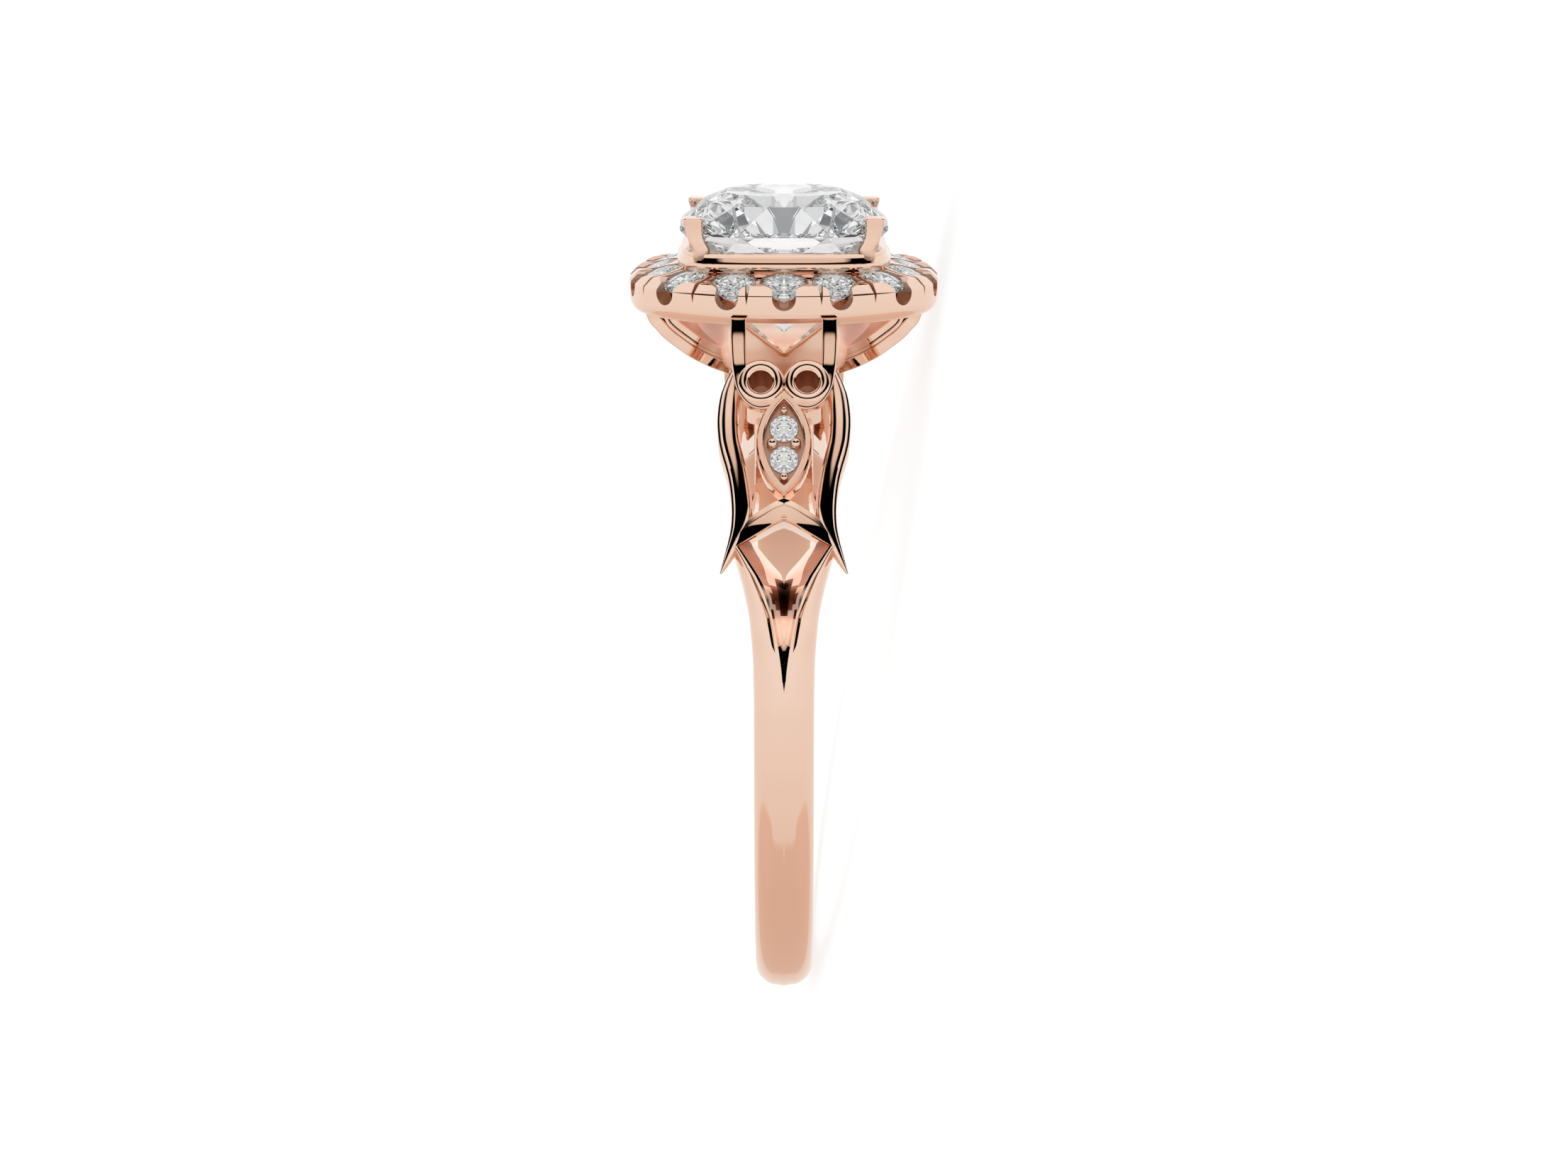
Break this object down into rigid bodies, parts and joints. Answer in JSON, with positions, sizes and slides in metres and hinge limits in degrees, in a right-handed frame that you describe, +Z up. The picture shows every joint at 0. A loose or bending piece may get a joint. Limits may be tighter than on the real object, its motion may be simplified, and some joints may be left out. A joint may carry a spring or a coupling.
{
  "type": "halo engagement ring",
  "caption": "Halo engagement ring with a cushion-cut centre stone in claws, a rounded halo of round stones, scroll gallery, stone-set shoulders and a split band.",
  "frame": {"origin": "centre of the bottom of the bounding box of the ring as it lies on its side on a table", "axes": "+X from the plain end of the band to the head, +Y from one shoulder to the other, +Z up from the table; the finger axis leans 10.2 degrees from +Z, because the ring lies on the edge of its halo and the edge of its band"},
  "size_m": [0.0272, 0.0204, 0.0102],
  "materials": {
    "rose_gold": "polished",
    "stone": "polished"
  },
  "bodies": {
    "root": {"ring_mount": "rose_gold", "centre_stone": "stone", "halo_stone_1": "stone", "halo_stone_2": "stone", "halo_stone_3": "stone", "halo_stone_4": "stone", "halo_stone_5": "stone", "halo_stone_6": "stone", "halo_stone_7": "stone", "halo_stone_8": "stone", "halo_stone_9": "stone", "halo_stone_10": "stone", "halo_stone_11": "stone", "halo_stone_12": "stone", "halo_stone_13": "stone", "halo_stone_14": "stone", "halo_stone_15": "stone", "halo_stone_16": "stone", "shoulder_stone_front_1": "stone", "shoulder_stone_front_2": "stone", "shoulder_stone_back_1": "stone", "shoulder_stone_back_2": "stone"}
  },
  "joints": []
}
